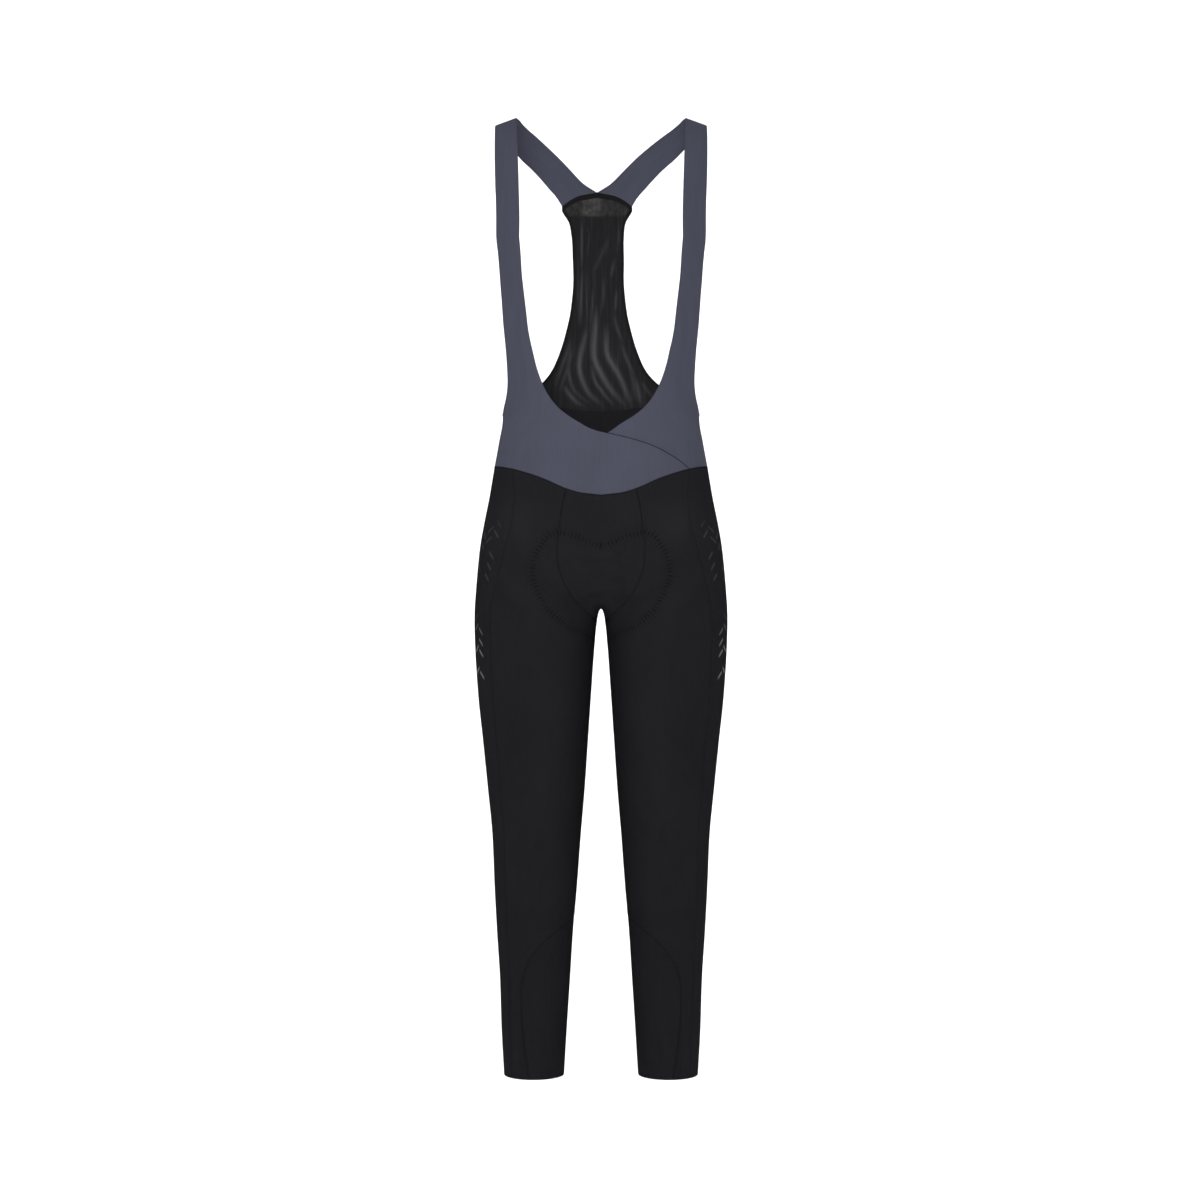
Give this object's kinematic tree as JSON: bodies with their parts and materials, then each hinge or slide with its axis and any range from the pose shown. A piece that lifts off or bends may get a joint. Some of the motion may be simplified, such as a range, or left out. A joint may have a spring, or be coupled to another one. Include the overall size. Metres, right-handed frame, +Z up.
{
  "type": "cycling bib tights",
  "caption": "Full-length cycling bib tights with shoulder straps crossing to a mesh back, wrapped slate front, black legs, crotch panel with pad and printed side panels, in worn shape",
  "frame": {"origin": "midway between the tops of the two shoulder straps, level with the tops of their shoulder seams", "axes": "+Z up; -Y is the garment's front; +X is the wearer's left"},
  "size_m": [0.3724, 0.2295, 1.4093],
  "materials": {
    "slate_knit": "matte stretch knit",
    "black_knit": "stretch knit with a faint sheen",
    "black_mesh": "open fine mesh",
    "black_band": "folded elastic binding",
    "pad_foam": "soft foam with a fleece face"
  },
  "bodies": {
    "root": {"front_wrap_right": "slate_knit", "front_wrap_left": "slate_knit", "back_strap_right": "slate_knit", "back_strap_left": "slate_knit", "yoke_band": "black_band", "back_mesh": "black_mesh", "mesh_binding_right": "black_band", "mesh_binding_left": "black_band", "front_gusset": "black_knit", "front_leg_right": "black_knit", "front_leg_left": "black_knit", "side_panel_right": "black_knit", "side_panel_left": "black_knit", "back_leg_right": "black_knit", "back_leg_left": "black_knit", "calf_panel_right": "black_knit", "calf_panel_left": "black_knit", "chamois_pad": "pad_foam"}
  },
  "joints": []
}
